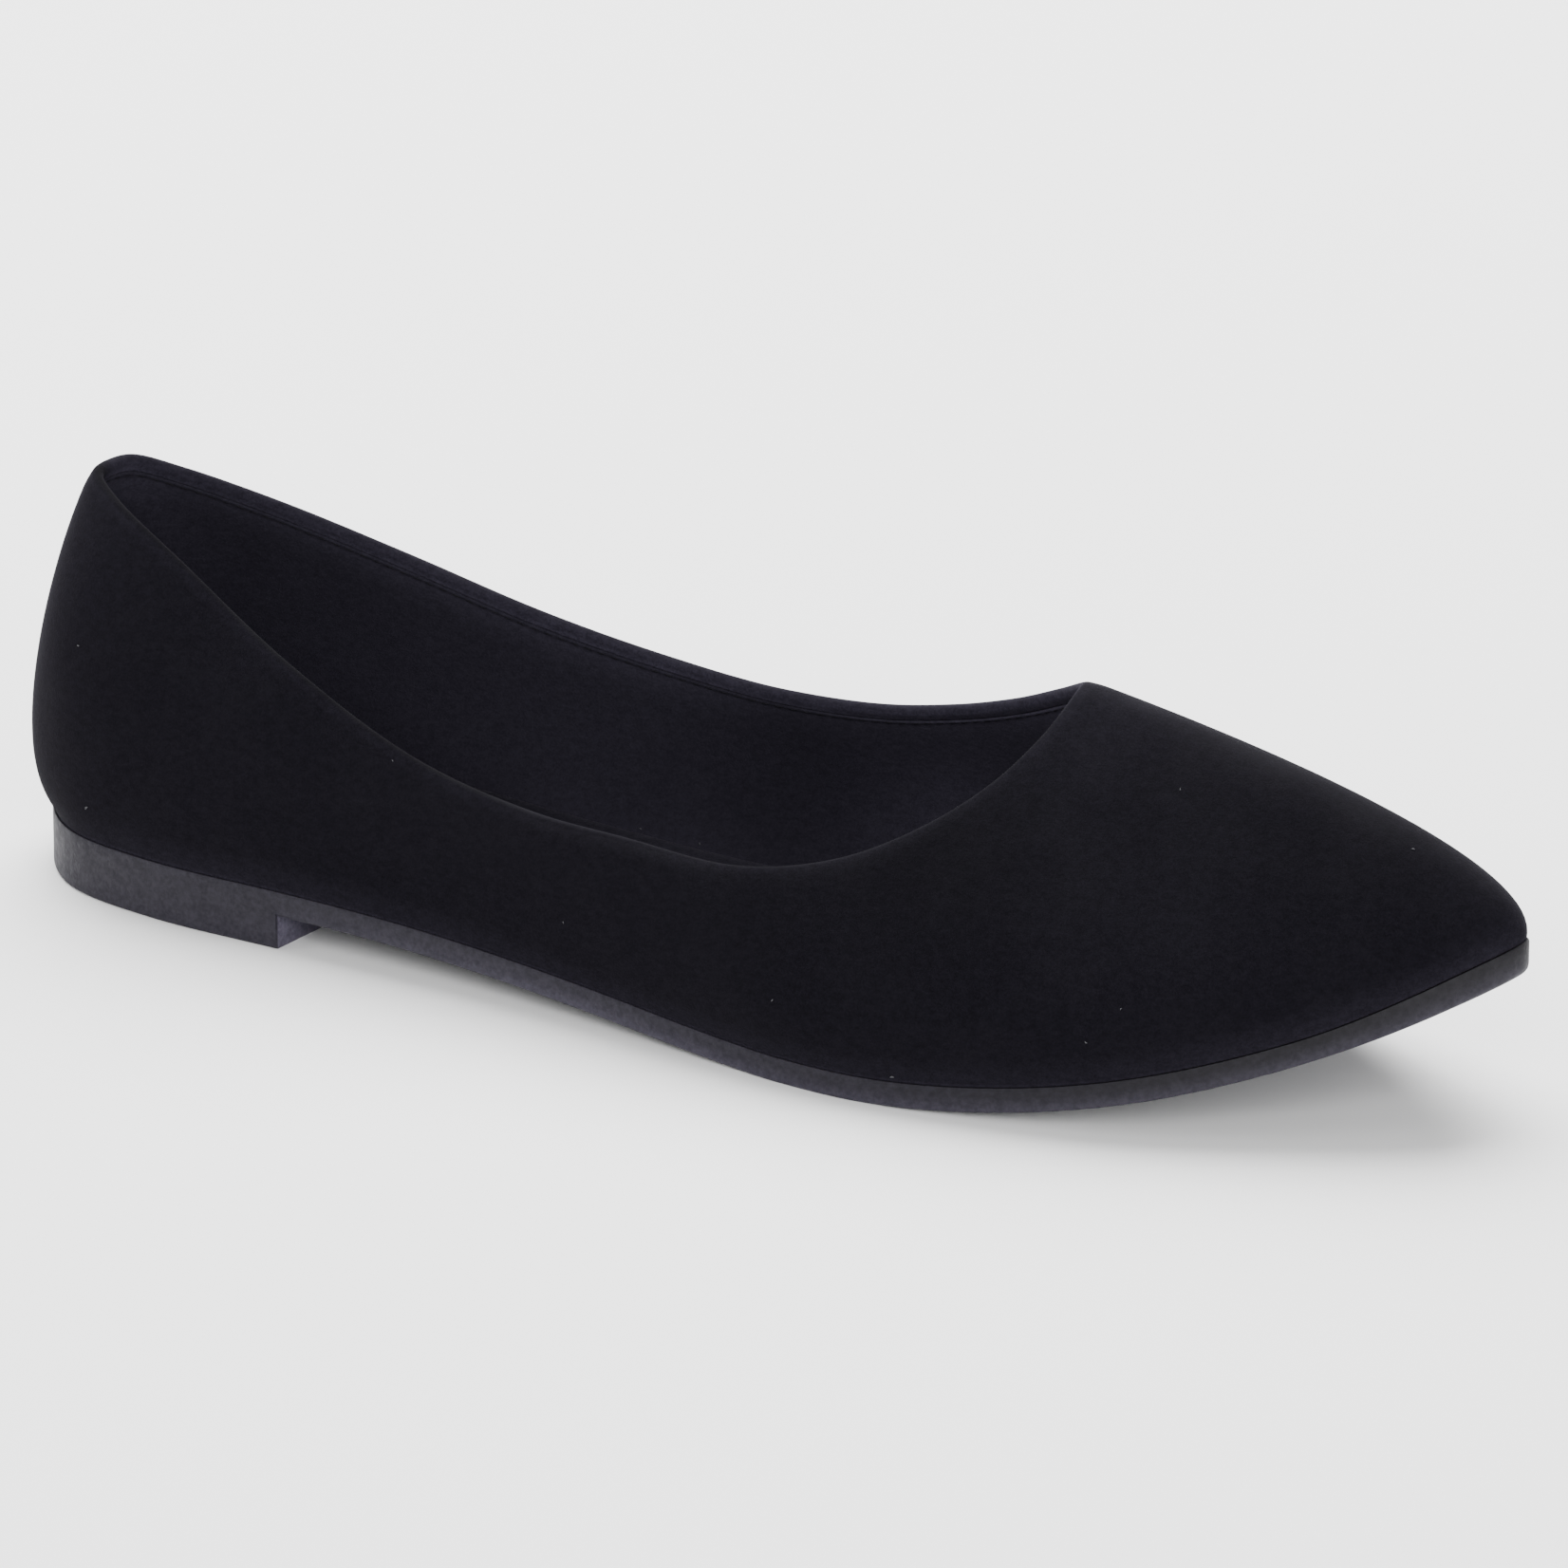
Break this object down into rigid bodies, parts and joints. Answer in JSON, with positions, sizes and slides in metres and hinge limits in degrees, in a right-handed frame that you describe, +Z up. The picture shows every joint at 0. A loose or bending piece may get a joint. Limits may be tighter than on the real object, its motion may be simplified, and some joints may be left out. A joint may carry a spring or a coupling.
{
  "type": "pointed toe flat shoe",
  "caption": "Slip-on pointed toe flat for the right foot, low cut collar, napped dark upper, moulded rubber sole with a low heel.",
  "frame": {"origin": "on the ground, under the middle of the shoe's length and width", "axes": "+Z up, +X towards the toe along the shoe's length, outer side of the foot towards -Y"},
  "size_m": [0.2628, 0.0812, 0.0657],
  "materials": {
    "sole_rubber": "matt moulded, faintly mottled",
    "upper_cloth": "brushed nap, very matt, with a soft sheen at grazing angles",
    "lining_cloth": "matt short nap"
  },
  "bodies": {
    "root": {"unit_sole": "sole_rubber", "upper": "upper_cloth", "insole": "lining_cloth"}
  },
  "joints": []
}
